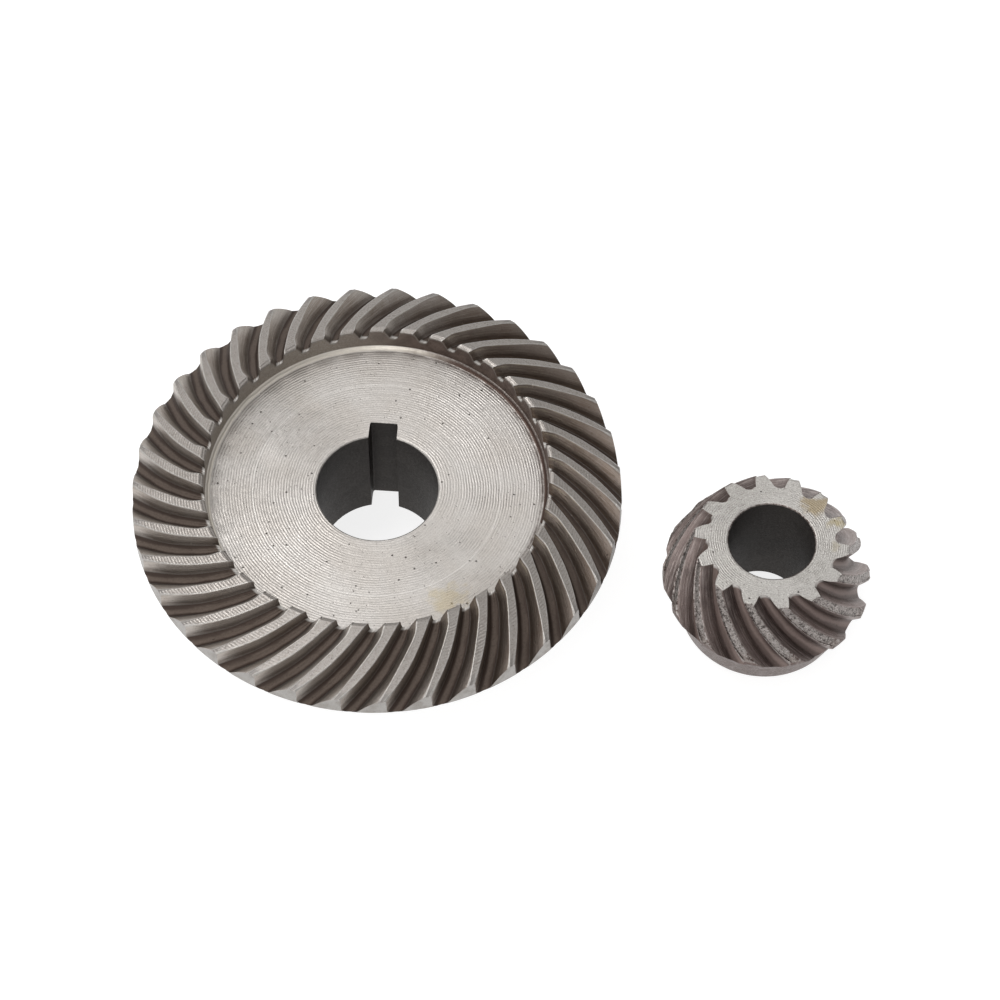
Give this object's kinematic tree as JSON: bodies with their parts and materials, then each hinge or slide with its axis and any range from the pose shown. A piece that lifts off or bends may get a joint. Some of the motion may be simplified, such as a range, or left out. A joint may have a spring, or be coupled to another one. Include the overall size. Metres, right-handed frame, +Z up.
{
  "type": "bevel gear pair",
  "caption": "Spiral bevel gear pair: a broad crown wheel with a keyed bore, teeth up, and beside it the small matching pinion with a plain bore, standing on its large end.",
  "frame": {"origin": "centre of the crown wheel's bore on its hub's back face, which lies on the plane that both gears stand on", "axes": "+Z up along the wheel's bore axis, out of the toothed side; +X from the wheel towards the pinion; the pinion's bore axis is parallel to +Z in this rest layout"},
  "size_m": [0.1039, 0.0686, 0.0223],
  "materials": {
    "wheel_steel": "turned and cut alloy steel with dark oxide in the tooth spaces",
    "pinion_steel": "turned end face, rough tooth tips and brown oxide on the flanks"
  },
  "bodies": {
    "wheel": {"bevel_wheel": "wheel_steel"},
    "pinion": {"bevel_pinion": "pinion_steel"}
  },
  "joints": [
    {"name": "pinion_spin", "type": "hinge", "parent": "wheel", "child": "pinion", "pos_m": [0.055, -0.0069, 0], "axis": [0, 0, 1], "continuous": true}
  ]
}
